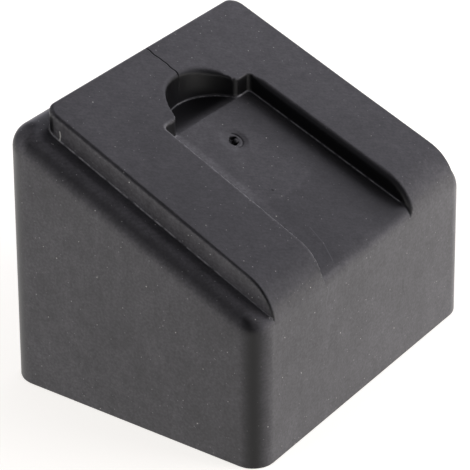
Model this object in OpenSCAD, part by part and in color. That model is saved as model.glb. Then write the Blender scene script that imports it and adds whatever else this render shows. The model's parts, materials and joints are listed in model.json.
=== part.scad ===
// Workbench foot: a wedge moulded in one piece from black rubber.
// A raised pad covers the sloping top, inside a rounded shoulder on three sides.
// A keyhole recess is sunk in the pad: a channel open at the front, and a round pocket behind it.
// Origin at the middle of the base, +Z up, the low front side towards -Y.

/* [Body] */
// Width of the base, left to right
body_w = 46; // [40:0.5:60]
// Depth of the base, front to back
body_d = 37.2; // [32:0.2:50]
// Radius of the upright corners at the base
corner_r = 3.5; // [2.6:0.1:5]
// Radius of the upright corners at the shoulder
top_corner_r = 4; // [2.6:0.1:5]
// Radius of the shoulder's edge, below the pad
shoulder_r = 2.4; // [1.5:0.1:2.6]
// Lean of the outer walls from upright, in degrees
wall_draft = 0.4; // [0.1:0.1:1.5]
// Height of the straight land round the base
base_land = 0.6; // [0.2:0.1:2]

/* [Slope] */
// Slope of the top, rising from front to back, in degrees
slope_deg = 23.3; // [16:0.1:28]
// Height of the pad's top above the middle of the base
top_z = 30.1; // [27:0.1:40]

/* [Pad] */
// Rise of the pad above the shoulder, measured upright
pad_rise = 2.9; // [1.5:0.1:4]
// Width of the pad across the middle of the body
pad_w = 38.6; // [32:0.1:39]
// Ledge behind the pad
back_ledge = 4; // [3.6:0.05:6]
// Widening of the pad towards the front, in degrees a side
pad_flare = 1.6; // [0:0.1:2]
// Radius of the pad's back corners, seen from above
pad_corner_r = 1.8; // [1.2:0.1:4]
// Radius of the pad's top edges
pad_lip_r = 0.45; // [0.3:0.05:1]
// Radius of the roll from the pad's top into the front face
front_roll_r = 6; // [5:0.1:9]

/* [Recess] */
// Width of the channel across the middle of the body
channel_w = 17.9; // [15:0.1:24]
// Depth of the channel, measured upright
channel_depth = 2.4; // [1.2:0.1:4]
// Widening of the channel towards the front, in degrees a side
channel_flare = 2; // [0:0.1:3]
// Radius of the roll from the channel's floor into the front face
channel_roll_r = 2.2; // [1.5:0.1:6]
// Distance of the channel's back wall behind the middle of the body
notch_y = 4.9; // [3:0.1:7]
// Radius of the round pocket
pocket_r = 6.3; // [5:0.1:7.4]
// Distance of the pocket's centre behind the middle of the body
pocket_y = 3.1; // [1:0.1:4]
// Tilt of the pocket's floor, rising towards the back, in degrees
pocket_floor_deg = 3; // [0:0.5:10]

/* [Gate mark] */
// Diameter of the dimple round the moulding gate
dimple_d = 3.2; // [2:0.1:5]
// Depth of the dimple
dimple_depth = 0.25; // [0.1:0.05:0.5]
// Diameter of the broken gate
gate_d = 1.2; // [0.8:0.1:1.8]
// Depth of the broken gate below the channel's floor
gate_depth = 0.7; // [0.4:0.1:1.5]
// Distance of the gate behind the middle of the body
gate_y = 0.6; // [-3:0.1:2]

/* [Hidden] */
slope = tan(slope_deg);
draft = tan(wall_draft);
// Overlap that keeps cuts clear of the faces they pass through
over = 1;
// Stand of the pad's front roll past the front face, so that the two surfaces cross
lap = 0.02;
edge_fn = 32;
round_fn = 40;
roll_fn = 72;

// Height of the pad's top plane at a distance behind the middle
function top_at(y) = top_z + slope * y;
// Height of the channel's floor plane there
function floor_at(y) = top_at(y) - channel_depth;
// Half width of the pad and of the channel there
function pad_half(y) = pad_w / 2 - y * tan(pad_flare);
function channel_half(y) = channel_w / 2 - y * tan(channel_flare);

// Rings that round the shoulder's corners: side is 1 at the back and -1 at the front
ring_reach = body_d / 2 - shoulder_r - (top_corner_r - shoulder_r) * cos(slope_deg);
ring_mid_z = top_z - pad_rise - shoulder_r / cos(slope_deg);
function ring_y(side) = side * (ring_reach - draft * ring_mid_z) / (1 + side * draft * slope);
function ring_z(side) = ring_mid_z + slope * ring_y(side);
function ring_x(side) = body_w / 2 - top_corner_r - draft * ring_z(side);

// Centre of a roll that is tangent to the front face and to the plane at mid_z above the middle
function roll_y(r, mid_z) =
    (r - body_d / 2 + draft * (mid_z - r / cos(slope_deg))) / (1 - draft * slope);
function roll_z(r, mid_z) = mid_z + slope * roll_y(r, mid_z) - r / cos(slope_deg);

pad_roll_y = roll_y(front_roll_r, top_z) - lap;
pad_roll_z = roll_z(front_roll_r, top_z);
pad_back_y = body_d / 2 - back_ledge - pad_corner_r;
floor_roll_y = roll_y(channel_roll_r, top_z - channel_depth) - lap;
floor_roll_z = roll_z(channel_roll_r, top_z - channel_depth);
recess_top = top_at(body_d / 2) + over;

// Ring lying in the XY plane, for rounded edges
module ring(r, edge_r, around) {
    rotate_extrude($fn = around)
        intersection() {
            translate([r - edge_r, 0])
                circle(edge_r, $fn = edge_fn);
            translate([0, -edge_r])
                square([r, 2 * edge_r]);
        }
}

// Block with leaning walls and a rounded, sloping shoulder
module block() {
    hull() {
        for (sx = [-1, 1], sy = [-1, 1]) {
            translate([sx * (body_w / 2 - corner_r), sy * (body_d / 2 - corner_r), 0])
                cylinder(r = corner_r, h = base_land, $fn = round_fn);
            translate([sx * ring_x(sy), ring_y(sy), ring_z(sy)])
                rotate([slope_deg, 0, 0])
                    ring(top_corner_r, shoulder_r, round_fn);
        }
    }
}

// Raised pad: rounded back corners, a soft top edge, and a roll down to the front face
module pad() {
    post_z = top_at(pad_back_y - pad_corner_r) - pad_lip_r;
    hull() {
        for (sx = [-1, 1]) {
            back_x = sx * (pad_half(pad_back_y) - pad_corner_r);
            translate([back_x, pad_back_y, top_at(pad_back_y)])
                rotate([slope_deg, 0, 0])
                    translate([0, 0, -pad_lip_r])
                        ring(pad_corner_r, pad_lip_r, round_fn);
            translate([back_x, pad_back_y, post_z - pad_rise - over])
                cylinder(r = pad_corner_r, h = pad_rise + over, $fn = round_fn);
            translate([sx * (pad_half(pad_roll_y) - pad_lip_r), pad_roll_y, pad_roll_z])
                rotate([0, 90, 0])
                    ring(front_roll_r, pad_lip_r, roll_fn);
        }
    }
}

// Side outline of what stays below the channel: floor, roll and front
module floor_outline() {
    roll_step = 6;
    roll = [for (a = [180 : -roll_step : 90 + slope_deg])
        [floor_roll_y + channel_roll_r * cos(a), floor_roll_z + channel_roll_r * sin(a)]];
    polygon(concat(
        [[body_d, -over], [-body_d / 2 - over, -over]],
        roll,
        [[floor_roll_y - channel_roll_r * sin(slope_deg), floor_roll_z + channel_roll_r * cos(slope_deg)],
         [body_d, floor_at(body_d)]]));
}

// Channel: a flaring outline from above, down to the rolled floor
module channel_cut() {
    front = -body_d / 2 - over;
    difference() {
        linear_extrude(recess_top)
            polygon([[-channel_half(front), front], [channel_half(front), front],
                     [channel_half(notch_y), notch_y], [-channel_half(notch_y), notch_y]]);
        translate([-body_w / 2, 0, 0])
            rotate([90, 0, 90])
                linear_extrude(body_w)
                    floor_outline();
    }
}

// Pocket: upright round wall, with a floor that starts at the channel's back wall
module pocket_cut() {
    intersection() {
        translate([0, pocket_y, 0])
            cylinder(r = pocket_r, h = recess_top, $fn = roll_fn);
        translate([-body_w / 2, notch_y, floor_at(notch_y)])
            rotate([pocket_floor_deg, 0, 0])
                translate([0, -2 * pocket_r, 0])
                    cube([body_w, 4 * pocket_r, body_d]);
    }
}

// Gate mark in the channel's floor: a shallow dimple with the broken gate in its middle
module gate_cut() {
    dimple_r = (dimple_d * dimple_d / 4 + dimple_depth * dimple_depth) / (2 * dimple_depth);
    translate([0, gate_y, floor_at(gate_y)])
        rotate([slope_deg, 0, 0]) {
            translate([0, 0, dimple_r - dimple_depth])
                sphere(dimple_r, $fn = roll_fn);
            translate([0, 0, -gate_depth])
                cylinder(d = gate_d, h = gate_depth + over, $fn = round_fn);
        }
}

module foot() {
    color("#2b2b2e")
        difference() {
            union() {
                block();
                pad();
            }
            channel_cut();
            pocket_cut();
            gate_cut();
        }
}

foot();
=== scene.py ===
import json
import math
import bmesh
import bpy
import numpy as np
from mathutils import Matrix, Vector


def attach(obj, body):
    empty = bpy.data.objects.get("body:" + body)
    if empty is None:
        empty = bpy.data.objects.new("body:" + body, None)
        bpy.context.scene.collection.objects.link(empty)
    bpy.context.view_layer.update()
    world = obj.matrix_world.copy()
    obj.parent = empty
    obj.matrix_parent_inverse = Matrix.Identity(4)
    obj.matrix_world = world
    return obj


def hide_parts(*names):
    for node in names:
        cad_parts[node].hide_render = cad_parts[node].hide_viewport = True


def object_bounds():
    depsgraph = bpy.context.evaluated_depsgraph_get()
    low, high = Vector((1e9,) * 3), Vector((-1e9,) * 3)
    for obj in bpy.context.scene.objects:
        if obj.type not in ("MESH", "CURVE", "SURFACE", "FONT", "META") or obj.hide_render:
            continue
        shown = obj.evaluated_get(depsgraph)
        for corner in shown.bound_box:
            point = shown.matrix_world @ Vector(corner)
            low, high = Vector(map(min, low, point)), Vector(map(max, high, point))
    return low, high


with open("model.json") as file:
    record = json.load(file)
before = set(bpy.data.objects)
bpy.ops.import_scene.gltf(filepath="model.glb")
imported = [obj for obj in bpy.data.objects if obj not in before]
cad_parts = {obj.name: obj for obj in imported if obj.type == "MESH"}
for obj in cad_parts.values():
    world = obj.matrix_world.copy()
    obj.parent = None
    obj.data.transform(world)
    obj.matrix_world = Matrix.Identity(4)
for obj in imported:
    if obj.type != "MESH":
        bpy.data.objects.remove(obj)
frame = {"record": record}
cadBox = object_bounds()
mm = 0.001
print("frame loaded, CAD box", cadBox)

# the slope of the top comes from the part's own mount on the pad
padMount = next(m for m in frame["record"]["mounts"] if m["name"] == "pad_top")
slopeAngle = math.atan2(-padMount["axis"][1], padMount["axis"][2])
slope = math.tan(slopeAngle)
slopeUp = np.array((0, -math.sin(slopeAngle), math.cos(slopeAngle)))
slopeAlong = np.array((0, math.cos(slopeAngle), math.sin(slopeAngle)))
topHeight = padMount["pos_m"][2] / mm - slope * padMount["pos_m"][1] / mm
baseWidth = (cadBox[1][0] - cadBox[0][0]) / mm
baseDepth = (cadBox[1][1] - cadBox[0][1]) / mm

# the moulding, all in millimetres and degrees; a pair is where a change starts and ends
moulding = {
    "draft": 0.4,                  # lean of the outer walls
    "cornerBase": 3.5,             # upright corners at the base
    "cornerTop": 4.0,              # and at the shoulder
    "cornerNear": 2.9,             # the front left one is tighter
    "shoulder": 2.4,               # rounded edge below the pad
    "shoulderRunout": 1.0,         # and where it runs out beside the pad's front
    "runoutFacing": (0.88, 1.0),   # how squarely the wall faces the front there
    "runoutBeside": (-0.6, -0.1),  # and how far it is from the pad's side
    "baseEdge": 0.18,              # nearly sharp lower edge
    "padRise": 2.9,
    "padWidth": 38.6,
    "padFlare": 1.6,
    "backLedge": 4.0,
    "padCorner": 1.8,
    "padLip": 0.42,                # top edge of the pad
    "padLipFront": 0.315,          # finer towards the front
    "padLipSpan": (-14.0, -2.0),
    "padTrim": 0.05,               # edge where the outer walls cut the pad's front
    "ledgeFillet": 0.2,
    "ledgeLeast": 0.002,
    "ledgeFade": (0.1, 0.9),       # distance from the front face
    "frontRoll": 6.0,
    "channelWidth": 17.9,
    "channelDepth": 2.4,
    "channelFlare": 2.0,
    "channelRoll": 2.4,
    "channelRunout": 0.04,         # its floor leaves the front face just before turning upright
    "channelCorner": 0.7,
    "notch": 4.9,
    "pocketRadius": 6.3,
    "pocketY": 3.1,
    "pocketTilt": 3.0,
    "neckRound": 0.8,              # where the pocket opens into the channel
    "floorFillet": 0.3,
    "creaseRound": 0.4,
}


# a field is (distance, gradient) at many points; it is negative inside the rubber
def flat(points, normal, at):
    direction = np.asarray(normal, float)
    direction = direction / np.linalg.norm(direction)
    return points @ direction - at, np.broadcast_to(direction, points.shape)


def inverse(field):
    return -field[0], -field[1]


parallelCosine = 0.998   # faces closer to parallel than this are rounded as if they were at it


# what lies in both fields, with the edge rounded by a rolling ball
def inBoth(a, b, radius):
    cosine = np.clip((a[1] * b[1]).sum(1), -parallelCosine, parallelCosine)
    u = a[0] + radius
    v = b[0] + radius
    sine2 = 1 - cosine * cosine
    alpha = (u - cosine * v) / sine2
    beta = (v - cosine * u) / sine2
    onBall = (alpha > 0) & (beta > 0)
    reach = np.sqrt(np.maximum(u * u + v * v - 2 * cosine * u * v, 1e-12) / sine2)
    ball = (alpha[:, None] * a[1] + beta[:, None] * b[1]) / np.maximum(reach, 1e-9)[:, None]
    plain = np.where((a[0] > b[0])[:, None], a[1], b[1])
    return (np.where(onBall, reach - radius, np.maximum(a[0], b[0])),
            np.where(onBall[:, None], ball, plain))


def inEither(a, b, radius):
    return inverse(inBoth(inverse(a), inverse(b), radius))


def without(a, b, radius):
    return inBoth(a, inverse(b), radius)


def signOf(values):
    return np.where(values < 0, -1.0, 1.0)


# 0 before low and 1 past high, or the other way round where low is the larger
def ramp(values, low, high):
    return np.clip((values - low) / (high - low), 0, 1)


def smooth(values, low, high):
    t = ramp(values, low, high)
    return t * t * (3 - 2 * t)


def mixed(a, b, share):
    return a + (b - a) * share


def columns(x, y, z):
    return np.stack(np.broadcast_arrays(x, y, z), 1).astype(float)


# sloping plane at a depth below the pad's top, as a solid below it
def slopePlane(points, below):
    return flat(points, slopeUp, (topHeight - below) * math.cos(slopeAngle))


def frontFace(points):
    lean = math.tan(math.radians(moulding["draft"]))
    return flat(points, (0, -1, lean), baseDepth / 2 * math.cos(math.atan(lean)))


def outerWalls(points):
    m = moulding
    lean = math.tan(math.radians(m["draft"]))
    x, y, z = points.T
    side = np.abs(x) - baseWidth / 2 + lean * z, columns(signOf(x), 0, lean)
    face = np.abs(y) - baseDepth / 2 + lean * z, columns(0, signOf(y), lean)
    corner = mixed(m["cornerBase"], m["cornerTop"], ramp(z, 0, topHeight))
    corner = np.where((x < 0) & (y < 0), m["cornerNear"], corner)
    return inBoth(side, face, corner)


def flaredSides(points, width, flare):
    x, y = points.T[:2]
    spread = math.tan(math.radians(flare))
    level = math.cos(math.radians(flare))
    return (np.abs(x) - width / 2 + y * spread) * level, columns(signOf(x), spread, 0) * level


# upright walls of the pad
def padOutline(points):
    m = moulding
    sides = flaredSides(points, m["padWidth"], m["padFlare"])
    back = flat(points, (0, 1, 0), baseDepth / 2 - m["backLedge"])
    return inBoth(sides, back, m["padCorner"])


def padSolid(points):
    m = moulding
    top = inBoth(slopePlane(points, 0), frontFace(points), m["frontRoll"])
    lip = mixed(m["padLipFront"], m["padLip"], smooth(points[:, 1], *m["padLipSpan"]))
    return inBoth(padOutline(points), top, lip)


def blockAndPad(points):
    m = moulding
    walls = outerWalls(points)
    besidePad = flaredSides(points, m["padWidth"], m["padFlare"])[0]
    runout = smooth(-walls[1][:, 1], *m["runoutFacing"]) * smooth(besidePad, *m["runoutBeside"])
    edge = mixed(m["shoulder"], m["shoulderRunout"], runout)
    shoulder = inBoth(walls, slopePlane(points, m["padRise"]), edge)
    pad = inBoth(padSolid(points), walls, m["padTrim"])
    fillet = m["ledgeFillet"] * smooth(-frontFace(points)[0], *m["ledgeFade"]) + m["ledgeLeast"]
    return inEither(shoulder, pad, fillet)


# upright walls of the recess, and the rubber under its floor
def recessParts(points):
    m = moulding
    x, y = points.T[:2]
    sides = flaredSides(points, m["channelWidth"], m["channelFlare"])
    back = flat(points, (0, 1, 0), m["notch"])
    channel = inBoth(sides, back, m["channelCorner"])
    radial = np.hypot(x, y - m["pocketY"])
    safe = np.maximum(radial, 1e-6)
    pocket = radial - m["pocketRadius"], columns(x / safe, (y - m["pocketY"]) / safe, 0)
    outline = inEither(channel, pocket, m["neckRound"])
    front = frontFace(points)
    front = front[0] - m["channelRunout"], front[1]
    floor = inBoth(slopePlane(points, m["channelDepth"]), front, m["channelRoll"])
    tilt = math.radians(m["pocketTilt"])
    seat = Vector((0, m["notch"], topHeight + slope * m["notch"] - m["channelDepth"]))
    up = Vector((0, -math.sin(tilt), math.cos(tilt)))
    floor = inBoth(floor, flat(points, up, seat.dot(up)), m["creaseRound"])
    return outline, floor


def recessSpace(points):
    outline, floor = recessParts(points)
    return without(outline, floor, moulding["floorFillet"])


# edge of the recess, in millimetres
recessEdge = {
    "radius": 0.1,
    "softRadius": 0.8,         # softer behind the pocket and along the channel's right side
    "behindY": (0.5, 3.0),     # from the notch
    "behindX": (-5.5, -2.5),
    "besideY": (-0.6, -2.0),   # from the notch
    "besideX": (2.0, 5.0),
    "besideShare": 0.8,
    "exit": (-0.2, 2.5),       # height above where the channel's floor rolls into the front face
    "exitRadius": 0.02,
}


# radius of that edge, which fades where the channel's floor rolls into the front face
def recessLip(points):
    m = moulding
    e = recessEdge
    x, y, z = points.T
    behind = smooth(y - m["notch"], *e["behindY"]) * smooth(x, *e["behindX"])
    beside = smooth(y - m["notch"], *e["besideY"]) * smooth(x, *e["besideX"])
    exitTurn = math.tan((math.pi / 2 + slopeAngle) / 2)
    exitHeight = topHeight - m["channelDepth"] - slope * baseDepth / 2 - m["channelRoll"] / exitTurn
    radius = mixed(e["radius"], e["softRadius"], np.maximum(behind, e["besideShare"] * beside))
    return e["exitRadius"] + radius * smooth(z - exitHeight, *e["exit"])


# broken pin gate in the channel's floor: a dimple, a torn hole and the nub left in it
gate = {
    "x": -0.25,
    "y": 0.72,
    "dimpleRadius": 1.9,
    "dimpleDepth": 0.2,
    "dimpleEdge": 1.0,
    "radius": 0.66,
    "depth": 0.7,
    "edge": 0.1,
    "bottomEdge": 0.2,
    "ragged": ((0.12, 2, 0.6), (0.08, 5, 0.0)),   # share of the radius, waves round the hole, start
    "nubAt": (0.3, -0.1),
    "nubBelow": 0.42,
    "nubRadius": 0.36,
    "ring": 1.12,              # faint ring pressed round the gate
    "ringDepth": 0.07,
    "ringWidth": 0.12,
    "ringTurn": 0.6,           # it shows on the right side alone
    "ringSweep": (-0.4, 0.6),
}


def gateMark(points, solid):
    g = gate
    middle = np.array((g["x"], g["y"], topHeight + slope * g["y"] - moulding["channelDepth"]))
    near = np.linalg.norm(points - middle, axis=1) < 2 * g["dimpleRadius"]
    if not near.any():
        return solid
    local = points[near] - middle
    part = solid[0][near], solid[1][near]

    def ball(centre, radius):
        away = local - centre
        reach = np.maximum(np.linalg.norm(away, axis=1), 1e-6)
        return reach - radius, away / reach[:, None]

    bowl = (g["dimpleRadius"] ** 2 + g["dimpleDepth"] ** 2) / (2 * g["dimpleDepth"])
    part = without(part, ball(slopeUp * (bowl - g["dimpleDepth"]), bowl), g["dimpleEdge"])
    height = local @ slopeUp
    away = local - height[:, None] * slopeUp
    angle = np.arctan2(away @ slopeAlong, away[:, 0])
    waves = sum(share * np.sin(count * angle + start) for share, count, start in g["ragged"])
    reach = np.maximum(np.linalg.norm(away, axis=1), 1e-6)
    outward = away / reach[:, None]
    wall = reach - g["radius"] * (1 + waves), outward
    bottom = -height - g["depth"], np.broadcast_to(-slopeUp, local.shape)
    part = without(part, inBoth(wall, bottom, g["bottomEdge"]), g["edge"])
    nub = ball(np.array((*g["nubAt"], 0)) - slopeUp * g["nubBelow"], g["nubRadius"])
    part = inEither(part, nub, g["edge"])
    offset = (reach - g["ring"]) / g["ringWidth"]
    sweep = smooth(away[:, 0] - g["ringTurn"] * (away @ slopeAlong), *g["ringSweep"])
    groove = g["ringDepth"] * np.exp(-offset * offset) * sweep
    tilt = (-2 * groove * offset / g["ringWidth"])[:, None] * outward
    solid[0][near] = part[0] + groove
    solid[1][near] = part[1] + tilt
    return solid


# knit line where the rubber met behind the pocket: a fine groove over the pad and down the wall
knitLine = {
    "x": 0.5,
    "width": 0.075,
    "depth": 0.09,
    "wander": ((0.05, 2.3, 0.0), (0.03, 5.1, 1.0)),   # sway, turn for each millimetre, start
    "start": (7.5, 7.9),
    "below": (2.6, 1.4),       # depth below the pad's top at which it ends
}


def knitGroove(points, solid):
    k = knitLine
    x, y, z = points.T
    wander = sum(sway * np.sin(turn * y + start) for sway, turn, start in k["wander"])
    offset = (x - k["x"] - wander) / k["width"]
    fade = ramp(y, *k["start"]) * ramp(topHeight + slope * y - z, *k["below"])
    groove = k["depth"] * np.exp(-offset * offset) * fade
    gradient = solid[1].copy()
    gradient[:, 0] -= 2 * groove * offset / k["width"]
    return solid[0] + groove, gradient


def footField(points):
    solid = without(blockAndPad(points), recessSpace(points), recessLip(points))
    solid = inBoth(solid, flat(points, (0, 0, -1), 0), moulding["baseEdge"])
    solid = solid[0].copy(), solid[1].copy()
    return knitGroove(points, gateMark(points, solid))


# grid that the surface is taken from, finer where edges and marks lie, in millimetres
footGrid = {
    "plain": 0.33,
    "edge": 0.15,
    "fine": 0.1,
    "knit": 0.045,
    "tall": 0.9,
    "rise": 0.28,
    "past": 0.3,               # how far it goes past the walls
    "wallBand": 0.5,
    "gateX": 1.2,
    "knitX": (0.25, 0.75),
    "channelX": (8.2, 9.8),
    "padX": (18.4, 20.2),
    "gateY": (-0.6, 1.8),
    "notchY": (4.2, 5.6),
    "pocketY": (8.8, 10.2),
    "padBackY": (13.9, 14.9),
    "baseZ": (-0.35, 0.55),
    "frontTopZ": 14.2,         # the rolls at the front start above this
    "pastTop": 0.5,
    "baseFacing": -0.99999,    # a face that looks this squarely down is part of the flat base
}


# lines from a start through stretches of (end, step)
def gridLine(start, stretches):
    lines = []
    for end, step in stretches:
        lines.append(np.linspace(start, end, max(1, round((end - start) / step)), endpoint=False))
        start = end
    return np.append(np.concatenate(lines), start)


# stretches out to a wall, with finer bands on the way
def withBands(bands, wall):
    g = footGrid
    stretches = []
    for (low, high), step in bands:
        stretches += [(low, g["plain"]), (high, step)]
    return stretches + [(wall - g["wallBand"], g["plain"]), (wall + g["past"], g["edge"])]


def gridAxes():
    g = footGrid
    bands = [(g[name], g["edge"]) for name in ("channelX", "padX")]
    side = gridLine(g["gateX"], withBands(bands, baseWidth / 2))
    low, high = g["knitX"]
    middle = gridLine(-g["gateX"], [(low, g["fine"]), (high, g["knit"]), (g["gateX"], g["fine"])])
    x = np.concatenate((-side[:0:-1], middle, side[1:]))
    bands = [(g["gateY"], g["fine"])]
    bands += [(g[name], g["edge"]) for name in ("notchY", "pocketY", "padBackY")]
    front = -baseDepth / 2
    stretches = [(front + g["wallBand"], g["edge"])] + withBands(bands, baseDepth / 2)
    y = gridLine(front - g["past"], stretches)
    low, high = g["baseZ"]
    peak = topHeight + slope * baseDepth / 2 + g["pastTop"]
    z = gridLine(low, [(high, g["fine"]), (g["frontTopZ"], g["tall"]), (peak, g["rise"])])
    return x, y, z


# one vertex in each cell that the surface crosses, joined by a quad across each crossed edge
def skin(field, axes):
    shape = tuple(len(a) for a in axes)
    values = np.empty(shape)
    for i in range(shape[0]):
        slab = np.stack(np.meshgrid(axes[0][i:i + 1], axes[1], axes[2], indexing="ij"), -1)
        values[i] = field(slab.reshape(-1, 3))[0].reshape(shape[1:])
    cells = tuple(n - 1 for n in shape)
    total = np.zeros((np.prod(cells), 3))
    count = np.zeros(np.prod(cells))
    quads = []
    for axis in range(3):
        low = np.take(values, range(shape[axis] - 1), axis)
        high = np.take(values, range(1, shape[axis]), axis)
        edge = np.argwhere((low < 0) != (high < 0))
        a = low[tuple(edge.T)]
        b = high[tuple(edge.T)]
        crossing = np.stack([axes[k][edge[:, k]] for k in range(3)], 1)
        step = axes[axis][edge[:, axis] + 1] - axes[axis][edge[:, axis]]
        crossing[:, axis] += step * a / (a - b)
        p, q = (axis + 1) % 3, (axis + 2) % 3
        ring = []
        for dp, dq in ((0, 0), (-1, 0), (-1, -1), (0, -1)):
            cell = edge.copy()
            cell[:, p] += dp
            cell[:, q] += dq
            flatIndex = np.ravel_multi_index(tuple(cell.T), cells)
            ring.append(flatIndex)
            count += np.bincount(flatIndex, minlength=len(count))
            for k in range(3):
                total[:, k] += np.bincount(flatIndex, crossing[:, k], len(count))
        ring = np.stack(ring, 1)
        quads.append(np.where((a < 0)[:, None], ring, ring[:, ::-1]))
    used = np.flatnonzero(count)
    number = np.full(len(count), -1)
    number[used] = np.arange(len(used))
    return total[used] / count[used][:, None], number[np.concatenate(quads)]


# moves points onto the surface, in steps of a limited length in millimetres
def settle(field, points, rounds=6, longest=0.2, leastSteep=0.25):
    for _ in range(rounds):
        distance, gradient = field(points)
        steep = np.maximum((gradient * gradient).sum(1), leastSteep)
        points = points - np.clip(distance / steep, -longest, longest)[:, None] * gradient
    return points


def surfaceNormals(points):
    gradient = footField(points)[1]
    return gradient / np.linalg.norm(gradient, axis=1)[:, None]


# painted light and shade laid into the grey bloom: gains and losses as shares of it, places in
# millimetres
paintedShadingInBloom = {
    "cornerLoss": 0.98,
    "cornerHeading": 53.0,          # degrees from front or back, where the painted shade on the upright corners is darkest
    "cornerSpread": (23.0, 24.0),   # towards front or back, towards the sides
    "cornerEnd": (90.0, 76.0),
    "cornerUp": (0.9, 0.6),
    "padTurn": (0.05, 0.6),
    "padNear": (0.3, 0.1),
    "padBelow": (0.1, -0.3),        # from the pad's foot
    "topLoss": 0.5,
    "topBackLoss": 0.29,            # less towards the back
    "topBackY": (-10.0, 14.0),
    "topRightGain": 0.15,           # and towards the right
    "topRightX": (0.0, 18.0),
    "topFacing": (0.45, 0.95),
    "topBelow": (-0.1, -0.5),       # from the pad's foot
    "ledgeLoss": 0.28,
    "ledgeFacing": (0.6, 1.0),
    "wallFacing": (0.7, 0.95),
    "lowGain": 0.12,                # painted lighter towards the base
    "lowZ": (14.0, 0.0),
    "frontGain": 0.11,              # and painted lighter to the right on the front face
    "frontX": (4.0, 22.0),
    "sideLoss": 0.16,               # painted darker beside the front left corner
    "sideY": (-11.0, -15.5),
}

# the channel's floor: lighter grey behind an uneven line and along the left side, painted shade near its
# right wall
channelGreyAndShade = {
    "near": (0.6, 0.15),            # distance from the recess
    "below": (0.02, 0.25),
    "behindFront": (0.2, 0.9),
    "facing": (0.7, 0.93),
    "end": (1.4, -0.3),             # from the notch
    "rightLoss": 0.75,
    "rightReach": (7.5, 0.5),
    "rightWiden": 0.25,             # that reach grows behind this place
    "rightWidenY": -8.0,
    "lineX": -1.5,
    "lineY": -8.15,
    "lineBow": (0.053, 0.021),      # left and right of its foremost point
    "lineWave": (0.15, 2.1, 1.0),   # sway, turn for each millimetre, start
    "lineSoft": (-0.35, 0.15),
    "lineGain": 0.25,
    "lineWidth": 0.3,
    "patchGain": 0.38,
    "leftGain": 1.0,
    "leftX": (-5.2, -6.1),
    "leftFront": 0.4,               # share of it at the front
    "leftFrontY": (-8.0, -4.0),
    "leftStartY": (-14.0, -9.0),
}


def channelShare(points, facing):
    c = channelGreyAndShade
    x, y = points.T[:2]
    fromRight = moulding["channelWidth"] / 2 - x
    far, near = c["rightReach"]
    far = far + c["rightWiden"] * np.maximum(y - c["rightWidenY"], 0)
    floor = smooth(facing, *c["facing"]) * smooth(y - moulding["notch"], *c["end"])
    # painted shade on the channel's floor near its right wall
    floor = floor * (1 - c["rightLoss"] * smooth(fromRight, far, near))
    sway, turn, start = c["lineWave"]
    bow = np.where(x > c["lineX"], c["lineBow"][1], c["lineBow"][0]) * (x - c["lineX"]) ** 2
    edge = y - c["lineY"] - bow + sway * np.sin(turn * x + start)
    patch = smooth(edge, *c["lineSoft"]) + c["lineGain"] * np.exp(-(edge / c["lineWidth"]) ** 2)
    left = smooth(x, *c["leftX"]) * smooth(y, *c["leftStartY"])
    left = left * mixed(c["leftFront"], 1, smooth(y, *c["leftFrontY"]))
    return floor * (1 + c["patchGain"] * patch + c["leftGain"] * left)


# how much grey bloom there is, with painted light and shade: most on upright faces, painted shade at the
# upright corners, on the pad's top and ledge and in the recess
def bloomWithPaintedShading(points, normals):
    m = moulding
    w = paintedShadingInBloom
    c = channelGreyAndShade
    x, y, z = points.T
    nx, ny, nz = normals.T
    facing = normals @ slopeUp
    belowTop = -slopePlane(points, 0)[0]
    belowFoot = belowTop - m["padRise"]

    isPad = smooth(padSolid(points)[0], *w["padNear"]) * smooth(belowFoot, *w["padBelow"])
    # painted shade at the upright corners of the block and the pad
    heading = np.degrees(np.arctan2(np.abs(nx), np.abs(ny)))
    spread = np.where(heading < w["cornerHeading"], *w["cornerSpread"])
    rounded = np.exp(-((heading - w["cornerHeading"]) / spread) ** 2)
    rounded = rounded * smooth(heading, *w["cornerEnd"]) * smooth(nz, *w["cornerUp"])
    padCorner = smooth(2 * np.abs(nx * ny), *w["padTurn"])
    corner = 1 - w["cornerLoss"] * mixed(rounded, padCorner, isPad)

    # painted shade on the pad's top and the ledge, less towards the back and right
    topShade = mixed(w["topLoss"], w["topBackLoss"], smooth(y, *w["topBackY"]))
    topShade = topShade - w["topRightGain"] * smooth(x, *w["topRightX"])
    onTop = smooth(belowFoot, *w["topBelow"])
    top = 1 - topShade * smooth(facing, *w["topFacing"]) * onTop
    top = top - w["ledgeLoss"] * smooth(facing, *w["ledgeFacing"]) * (1 - onTop)

    # painted light towards the base and on the front face's right, painted shade beside the front left
    # corner
    wall = 1 + w["lowGain"] * smooth(z, *w["lowZ"])
    wall = wall + w["frontGain"] * smooth(-ny, *w["wallFacing"]) * smooth(x, *w["frontX"])
    wall = wall - w["sideLoss"] * smooth(-nx, *w["wallFacing"]) * smooth(y, *w["sideY"])

    # painted shade in the recess: its walls keep no grey
    inRecess = smooth(recessSpace(points)[0], *c["near"]) * smooth(belowTop, *c["below"])
    inRecess = inRecess * smooth(-frontFace(points)[0], *c["behindFront"])
    return mixed(1, channelShare(points, facing), inRecess) * top * corner * wall


# painted highlights: a pale line along the recess's left rim, and pale lines in the creases
paintedHighlights = {
    "rimInside": (-0.35, -0.15),   # distance inside the pad's surface
    "rimNear": (0.36, 0.1),        # distance from the recess
    "rimX": (-2.0, -5.0),
    "rimY": (5.5, 4.6),
    "rimEnd": (0.1, 0.6),          # distance from the front face
    "rimLoss": 0.4,                # weaker towards the front
    "rimLossY": (-9.0, -15.0),
    "padFade": 0.12,               # a crease fades as if it lay this much further off
    "padFadeY": (-6.0, -14.0),
    "floorFade": (0.36, 0.06),     # shallow and deep in the recess
    "floorDeep": (0.4, 1.2),
}


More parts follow.
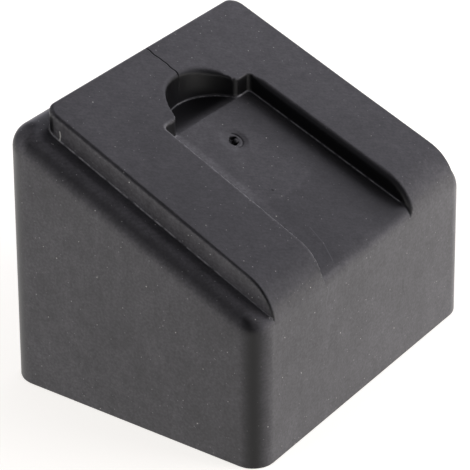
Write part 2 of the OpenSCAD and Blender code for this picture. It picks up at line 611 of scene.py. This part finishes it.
# painted highlight line along the recess's left rim
def rimHighlightLine(points):
    r = paintedHighlights
    x, y = points.T[:2]
    line = smooth(blockAndPad(points)[0], *r["rimInside"])
    line = line * smooth(recessSpace(points)[0], *r["rimNear"])
    line = line * smooth(x, *r["rimX"]) * smooth(y, *r["rimY"])
    line = line * smooth(-frontFace(points)[0], *r["rimEnd"])
    return line * (1 - r["rimLoss"] * smooth(y, *r["rimLossY"]))


# how far out and up from the nearest crease: the pad's foot, or the edge of the recess's floor
def toCrease(points):
    r = paintedHighlights
    padFade = r["padFade"] * smooth(points[:, 1], *r["padFadeY"])
    padFoot = columns(padOutline(points)[0], slopePlane(points, moulding["padRise"])[0], padFade)
    outline, floor = recessParts(points)
    shallow, deep = r["floorFade"]
    floorFade = mixed(shallow, deep, smooth(-blockAndPad(points)[0], *r["floorDeep"]))
    floorEdge = columns(outline[0], floor[0], floorFade)
    isFloor = np.linalg.norm(floorEdge, axis=1) < np.linalg.norm(padFoot, axis=1)
    return np.where(isFloor[:, None], floorEdge, padFoot)


def buildFoot():
    points, quads = skin(footField, gridAxes())
    points = settle(footField, points)
    mesh = bpy.data.meshes.new("rubberFoot")
    mesh.from_pydata((points * mm).tolist(), [], quads.tolist())
    # the flat of the base becomes one face
    work = bmesh.new()
    work.from_mesh(mesh)
    work.verts.ensure_lookup_table()
    level = surfaceNormals(points)[:, 2] < footGrid["baseFacing"]
    under = [f for f in work.faces if all(level[v.index] for v in f.verts)]
    bmesh.ops.dissolve_faces(work, faces=under, use_verts=True)
    work.to_mesh(mesh)
    work.free()
    mesh.shade_smooth()
    points = np.empty(len(mesh.vertices) * 3)
    mesh.vertices.foreach_get("co", points)
    points = points.reshape(-1, 3) / mm
    normals = surfaceNormals(points)
    mesh.normals_split_custom_set_from_vertices(normals.tolist())
    # what the finish reads at each point
    # grey bloom with painted light and shade
    bloomAndPaintedShading = mesh.attributes.new("bloomAndPaintedShading", "FLOAT", "POINT")
    bloomAndPaintedShading.data.foreach_set("value", bloomWithPaintedShading(points, normals))
    # painted highlight along the recess's left rim
    rimHighlight = mesh.attributes.new("rimHighlight", "FLOAT", "POINT")
    rimHighlight.data.foreach_set("value", rimHighlightLine(points))
    # distance to the creases, for the painted highlight lines there
    creaseHighlight = mesh.attributes.new("creaseHighlight", "FLOAT_VECTOR", "POINT")
    creaseHighlight.data.foreach_set("vector", toCrease(points).ravel())
    foot = bpy.data.objects.new("rubberFoot", mesh)
    bpy.context.scene.collection.objects.link(foot)
    triangles = sum(len(p.vertices) - 2 for p in mesh.polygons)
    print("foot mesh:", len(mesh.vertices), "points,", triangles, "triangles")
    return foot


foot = buildFoot()
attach(foot, "root")
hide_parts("foot")


def linearColour(hexText):
    parts = [int(hexText[i:i + 2], 16) / 255 for i in (1, 3, 5)]
    return [c / 12.92 if c <= 0.04045 else ((c + 0.055) / 1.055) ** 2.4 for c in parts] + [1.0]


def addNode(tree, kind, settings=None, links=None):
    node = tree.nodes.new(kind)
    for key, value in (settings or {}).items():
        if isinstance(key, int) or key in node.inputs:
            node.inputs[key].default_value = value
        else:
            setattr(node, key, value)
    for key, source in (links or {}).items():
        if isinstance(source, bpy.types.Node):   # a node stands for its first output in use
            source = next(socket for socket in source.outputs if socket.enabled)
        tree.links.new(source, node.inputs[key])
    return node


# black rubber compound pressed in a spark-eroded steel mould: a satin skin that stays nearly
# black where it mirrors nothing, greys where it mirrors the floor, and holds pale dust
# the grey bloom is laid with painted light and shade as well as real bloom
rubberFinish = {
    "colour": "#0a0a0b",
    "bloomColour": "#5c5b5e",     # grey of the bloom where it is thickest, which its painted light and shade also use
    "roughness": 0.34,
    "ior": 1.40,
    # what thins and thickens the bloom: turn about the upright, patch size in millimetres, share left
    "bloomPatterns": {
        "clouds": (0, (7.0, 7.0, 7.0), (0.53, 0.67)),
        "mottle": (0, (1.6, 1.6, 1.6), (0.90, 1.10)),
        "speckle": (0, (0.3, 0.3, 0.3), (0.80, 1.20)),
        "padRubs": (-42, (4.0, 0.3, 0.3), (0.86, 1.14)),
        "frontRubs": (0, (0.9, 0.9, 8.0), (0.94, 1.06)),
    },
    "patternReach": (0.27, 0.73),   # noise levels that give the least and the most
    "patternDetail": 4.0,
    # unevenness of the pressed faces: size and depth in millimetres
    "relief": {
        "wave": (5.0, 0.018),
        "grain": (0.35, 0.012),     # real grain is about 0.05, drawn coarser so that it shows
    },
    # specks of dust: spacing and radius in millimetres, colour
    "specks": {
        "lint": (0.95, 0.09, "#8a898a"),
        "grit": (1.7, 0.1, "#a2a19e"),
        "dust": (2.0, 0.1, "#c8c6c0"),
    },
    "speckCore": 0.45,              # share of the radius that is solid
    "dustPatch": 9.0,               # dust gathers in patches of this size
    # and scales with the bloom's share, its painted light and shade included
    "dustReach": (0.22, 0.42),
    "dustHold": 1.5,                # and holds better on bloomed skin
    "creaseWidth": (0.2, 0.08),     # painted highlight lines along the creases
    "creaseHighlightColour": "#808082",
    "rimHighlightColour": "#707072",
    "breakSize": 0.8333,            # its lines are broken at this size
    "breakDetail": 3.0,
    "breakReach": (0.32, 0.6),
    "markEdge": (1.6, 0.4),         # a mark fades between these shares of its half width
}

# single marks of use: points that the mark passes, half width in millimetres, colour
rubberMarks = {
    "channelScuff": (((-4.2, -12.84, 22.2), (-4.9, -15.2, 21.2), (-6.2, -17.3, 20.25),
                      (-7.6, -18.2, 18.9)), 0.07, "#444446"),
    "frontStreak": (((-8.6, -18.46, 18.3), (-9.0, -18.48, 16.6), (-9.2, -18.49, 15.5)), 0.06, "#58585a"),
    "padHair": (((-19.0, 12.2, 33.7), (-19.0, 12.12, 33.2), (-19.0, 12.22, 32.6)), 0.09, "#a0a09c"),
    "frontScratch": (((7.83, -18.5, 11.0), (7.9, -18.5, 9.2)), 0.06, "#060607"),
    "channelPit": (((-3.14, -6.8, 24.8), (-3.1, -6.85, 24.78)), 0.16, "#060607"),
}


# 1 within a straight mark from start to end, fading to 0 outside it
def markMask(tree, place, start, end, halfWidth):
    length = (end - start).length
    along = (end - start) / length
    outer, inner = rubberFinish["markEdge"]
    away = addNode(tree, "ShaderNodeVectorMath", {"operation": "SUBTRACT", 1: start}, {0: place})
    reach = addNode(tree, "ShaderNodeVectorMath", {"operation": "DOT_PRODUCT", 1: along}, {0: away})
    held = addNode(tree, "ShaderNodeClamp", {"Min": 0.0, "Max": length}, {"Value": reach})
    nearest = addNode(tree, "ShaderNodeVectorMath", {"operation": "SCALE", 0: along}, {"Scale": held})
    gap = addNode(tree, "ShaderNodeVectorMath", {"operation": "DISTANCE"}, {0: away, 1: nearest})
    return addNode(tree, "ShaderNodeMapRange",
                   {"interpolation_type": "SMOOTHSTEP", "From Min": outer * halfWidth,
                    "From Max": inner * halfWidth}, {"Value": gap})


def mouldedRubber():
    finish = rubberFinish
    material = bpy.data.materials.new("mouldedRubber")
    material.use_nodes = True
    tree = material.node_tree
    shader = tree.nodes["Principled BSDF"]
    shader.inputs["IOR"].default_value = finish["ior"]
    shader.inputs["Roughness"].default_value = finish["roughness"]
    spot = addNode(tree, "ShaderNodeTexCoord").outputs["Object"]
    place = addNode(tree, "ShaderNodeVectorMath", {"operation": "SCALE", "Scale": 1 / mm}, {0: spot})

    # grey bloom share, carrying painted light and shade
    bloomAndPaintedShading = addNode(tree, "ShaderNodeAttribute", {"attribute_name": "bloomAndPaintedShading"}).outputs["Fac"]
    low, high = finish["patternReach"]
    for turn, size, (least, most) in finish["bloomPatterns"].values():
        laid = addNode(tree, "ShaderNodeMapping",
                       {"vector_type": "TEXTURE", "Rotation": (0, 0, math.radians(turn)), "Scale": size},
                       {"Vector": place})
        pattern = addNode(tree, "ShaderNodeTexNoise", {"Scale": 1.0, "Detail": finish["patternDetail"]},
                          {"Vector": laid})
        share = addNode(tree, "ShaderNodeMapRange",
                        {"interpolation_type": "SMOOTHSTEP", "From Min": low, "From Max": high,
                         "To Min": least, "To Max": most}, {"Value": pattern})
        bloomAndPaintedShading = addNode(tree, "ShaderNodeMath", {"operation": "MULTIPLY"}, {0: bloomAndPaintedShading, 1: share})
    colour = addNode(tree, "ShaderNodeMix",
                     {"data_type": "RGBA", 6: linearColour(finish["colour"]),
                      7: linearColour(finish["bloomColour"])}, {"Factor": bloomAndPaintedShading})

    # painted highlight lines, marks and dust, each a mask with its own colour laid over what is there
    layers = []
    breaks = addNode(tree, "ShaderNodeTexNoise",
                     {"Scale": 1 / finish["breakSize"], "Detail": finish["breakDetail"]},
                     {"Vector": place})
    low, high = finish["breakReach"]
    broken = addNode(tree, "ShaderNodeMapRange", {"From Min": low, "From Max": high}, {"Value": breaks})
    # painted highlights along the rim and in the creases
    rimHighlight = addNode(tree, "ShaderNodeAttribute", {"attribute_name": "rimHighlight"}).outputs["Fac"]
    fromCrease = addNode(tree, "ShaderNodeAttribute", {"attribute_name": "creaseHighlight"}).outputs["Vector"]
    gap = addNode(tree, "ShaderNodeVectorMath", {"operation": "LENGTH"}, {0: fromCrease})
    far, near = finish["creaseWidth"]
    creaseHighlight = addNode(tree, "ShaderNodeMapRange",
                     {"interpolation_type": "SMOOTHSTEP", "From Min": far, "From Max": near},
                     {"Value": gap})
    layers.append((rimHighlight, broken, finish["rimHighlightColour"]))
    layers.append((creaseHighlight, broken, finish["creaseHighlightColour"]))
    for points, halfWidth, hexText in rubberMarks.values():
        for start, end in zip(points, points[1:]):
            layers.append((markMask(tree, place, Vector(start), Vector(end), halfWidth), None, hexText))
    patches = addNode(tree, "ShaderNodeTexNoise", {"Scale": 1 / finish["dustPatch"]}, {"Vector": place})
    low, high = finish["dustReach"]
    gathered = addNode(tree, "ShaderNodeMapRange",
                       {"From Min": low, "From Max": high, "To Max": finish["dustHold"]},
                       {"Value": patches})
    gathered = addNode(tree, "ShaderNodeMath", {"operation": "MULTIPLY"}, {0: gathered, 1: bloomAndPaintedShading})
    for spacing, radius, hexText in finish["specks"].values():
        scatter = addNode(tree, "ShaderNodeTexVoronoi", {"Scale": 1 / spacing}, {"Vector": place})
        speck = addNode(tree, "ShaderNodeMapRange",
                        {"interpolation_type": "SMOOTHSTEP", "From Min": radius / spacing,
                         "From Max": finish["speckCore"] * radius / spacing}, {"Value": scatter})
        layers.append((speck, gathered, hexText))
    for mask, share, hexText in layers:
        if share is not None:
            mask = addNode(tree, "ShaderNodeMath", {"operation": "MULTIPLY"}, {0: mask, 1: share})
        colour = addNode(tree, "ShaderNodeMix", {"data_type": "RGBA", 7: linearColour(hexText)},
                         {"Factor": mask, 6: colour})
    tree.links.new(colour.outputs[2], shader.inputs["Base Color"])

    normal = addNode(tree, "ShaderNodeNewGeometry").outputs["Normal"]
    for size, depth in finish["relief"].values():
        height = addNode(tree, "ShaderNodeTexNoise", {"Scale": 1 / size}, {"Vector": place})
        normal = addNode(tree, "ShaderNodeBump", {"Distance": depth * mm},
                         {"Height": height, "Strength": bloomAndPaintedShading, "Normal": normal})
    tree.links.new(normal.outputs[0], shader.inputs["Normal"])
    return material


foot.data.materials.append(mouldedRubber())
print("rubber finished")

# camera at the photograph's viewing angle; the image is 470 pixels square
camera = {
    "azimuth": -54.644,
    "elevation": 29.728,
    "roll": -0.461,
    "aim": (4.836, 4.336, 11.301),   # millimetres
    "distance": 316.13,
    "focalPixels": 2524.9,
    "imagePixels": 470,
    "sensorWidth": 36,
    "clipStart": 10,                 # millimetres
}


def placeCamera():
    azimuth = math.radians(camera["azimuth"])
    elevation = math.radians(camera["elevation"])
    back = Vector((math.sin(azimuth) * math.cos(elevation), -math.cos(azimuth) * math.cos(elevation),
                   math.sin(elevation)))
    right = Vector((math.cos(azimuth), math.sin(azimuth), 0))
    up = back.cross(right)
    turn = Matrix((right, up, back)).transposed() @ Matrix.Rotation(math.radians(camera["roll"]), 3, "Z")
    data = bpy.data.cameras.new("camera")
    data.sensor_width = camera["sensorWidth"]
    data.lens = data.sensor_width * camera["focalPixels"] / camera["imagePixels"]
    data.clip_start = camera["clipStart"] * mm
    eye = bpy.data.objects.new("camera", data)
    place = (Vector(camera["aim"]) + back * camera["distance"]) * mm
    eye.matrix_world = Matrix.Translation(place) @ turn.to_4x4()
    bpy.context.scene.collection.objects.link(eye)
    bpy.context.scene.camera = eye


placeCamera()
print("camera placed")

studio = {
    "floorSize": 8.0,                     # metres
    "floorGap": 0.02,                     # millimetres, so that floor and base don't share one plane
    "floorColour": "#cfcecb",
    "floorTint": "#fffdf9",
    "floorGlow": 0.72,                    # with the light that falls on it the floor is just white
    "skyColour": "#f4f2ff",
    "brightSide": (0.85, -0.35, -0.35),   # tilted down, so that the ceiling stays dark
    "brightReach": (0.05, 0.37),
    "brightSky": 1.1,
    "darkSky": 0.22,
    "backdropSide": (0.2, 0.98, 0.0),
    "backdropReach": (-0.2, 0.6),
    "backdropGlow": 0.9,                  # pale backdrop behind, up to a low height
    "backdropRise": (0.6, 0.25),
    "background": "#ffffff",              # what the camera sees past the floor
    # direction that the light comes from, distance, size (metres), power, colour
    "lamps": {
        "leftSoftbox": ((-0.80, 0.50, 0.22), 0.48, 0.4, 1.41, "#fffcf8"),
        "frontSoftbox": ((0.55, -0.82, 0.18), 0.25, 0.25, 0.79, "#fffaf5"),
    },
}


def layFloor():
    half = studio["floorSize"] / 2
    low = -studio["floorGap"] * mm
    corners = [(-half, -half, low), (half, -half, low), (half, half, low), (-half, half, low)]
    mesh = bpy.data.meshes.new("floor")
    mesh.from_pydata(corners, [], [(0, 1, 2, 3)])
    floor = bpy.data.objects.new("floor", mesh)
    bpy.context.scene.collection.objects.link(floor)
    material = bpy.data.materials.new("paleFloor")
    material.use_nodes = True
    tree = material.node_tree
    tree.nodes.clear()
    matt = addNode(tree, "ShaderNodeBsdfDiffuse", {"Color": linearColour(studio["floorColour"])})
    path = addNode(tree, "ShaderNodeLightPath")
    seen = addNode(tree, "ShaderNodeMath", {"operation": "MAXIMUM"},
                   {0: path.outputs["Is Camera Ray"], 1: path.outputs["Is Glossy Ray"]})
    seen = addNode(tree, "ShaderNodeMath", {"operation": "MAXIMUM"},
                   {0: seen, 1: path.outputs["Is Transmission Ray"]})
    level = addNode(tree, "ShaderNodeMath", {"operation": "MULTIPLY", 1: studio["floorGlow"]}, {0: seen})
    glow = addNode(tree, "ShaderNodeEmission", {"Color": linearColour(studio["floorTint"])},
                   {"Strength": level})
    both = addNode(tree, "ShaderNodeAddShader", {}, {0: matt, 1: glow})
    addNode(tree, "ShaderNodeOutputMaterial", {}, {"Surface": both})
    mesh.materials.append(material)


# a soft bright side, a dim one and a low backdrop
def lightSky():
    world = bpy.data.worlds.new("studio")
    world.use_nodes = True
    tree = world.node_tree
    way = addNode(tree, "ShaderNodeTexCoord").outputs["Generated"]
    brightSide = Vector(studio["brightSide"]).normalized()
    toBright = addNode(tree, "ShaderNodeVectorMath",
                       {"operation": "DOT_PRODUCT", 1: brightSide}, {0: way})
    dim, full = studio["brightReach"]
    level = addNode(tree, "ShaderNodeMapRange",
                    {"interpolation_type": "SMOOTHSTEP", "From Min": dim, "From Max": full,
                     "To Min": studio["darkSky"], "To Max": studio["brightSky"]}, {"Value": toBright})
    rise = addNode(tree, "ShaderNodeVectorMath", {"operation": "DOT_PRODUCT", 1: (0, 0, 1)}, {0: way})
    dim, full = studio["backdropRise"]
    backdrop = addNode(tree, "ShaderNodeMapRange",
                       {"interpolation_type": "SMOOTHSTEP", "From Min": dim, "From Max": full,
                        "To Max": studio["backdropGlow"]}, {"Value": rise})
    toBack = addNode(tree, "ShaderNodeVectorMath",
                     {"operation": "DOT_PRODUCT", 1: studio["backdropSide"]}, {0: way})
    dim, full = studio["backdropReach"]
    share = addNode(tree, "ShaderNodeMapRange",
                    {"interpolation_type": "SMOOTHSTEP", "From Min": dim, "From Max": full},
                    {"Value": toBack})
    backdrop = addNode(tree, "ShaderNodeMath", {"operation": "MULTIPLY"}, {0: backdrop, 1: share})
    level = addNode(tree, "ShaderNodeMath", {"operation": "MAXIMUM"}, {0: level, 1: backdrop})
    sky = tree.nodes["Background"]
    sky.inputs["Color"].default_value = linearColour(studio["skyColour"])
    tree.links.new(level.outputs[0], sky.inputs["Strength"])
    # past the floor the camera sees plain white; the rubber's sheen keeps the studio's two sides
    path = addNode(tree, "ShaderNodeLightPath")
    seen = addNode(tree, "ShaderNodeMath", {"operation": "MAXIMUM"},
                   {0: path.outputs["Is Camera Ray"], 1: path.outputs["Is Transmission Ray"]})
    white = addNode(tree, "ShaderNodeBackground",
                    {"Color": linearColour(studio["background"]), "Strength": 1.0})
    shown = addNode(tree, "ShaderNodeMixShader", {}, {0: seen, 1: sky, 2: white})
    tree.links.new(shown.outputs[0], tree.nodes["World Output"].inputs["Surface"])
    bpy.context.scene.world = world


def hangLamps():
    for name, (direction, distance, extent, power, colour) in studio["lamps"].items():
        data = bpy.data.lights.new(name, "AREA")
        data.size = extent
        data.energy = power
        data.color = linearColour(colour)[:3]
        lamp = bpy.data.objects.new(name, data)
        way = Vector(direction).normalized()
        turn = way.to_track_quat("Z", "Y").to_matrix().to_4x4()
        lamp.matrix_world = Matrix.Translation(way * distance) @ turn
        lamp.visible_camera = False
        lamp.visible_glossy = False   # as through crossed polarisers, no lamp shape in the sheen
        bpy.context.scene.collection.objects.link(lamp)


layFloor()
lightSky()
hangLamps()
bpy.context.scene.view_settings.view_transform = "Standard"
print("studio built")
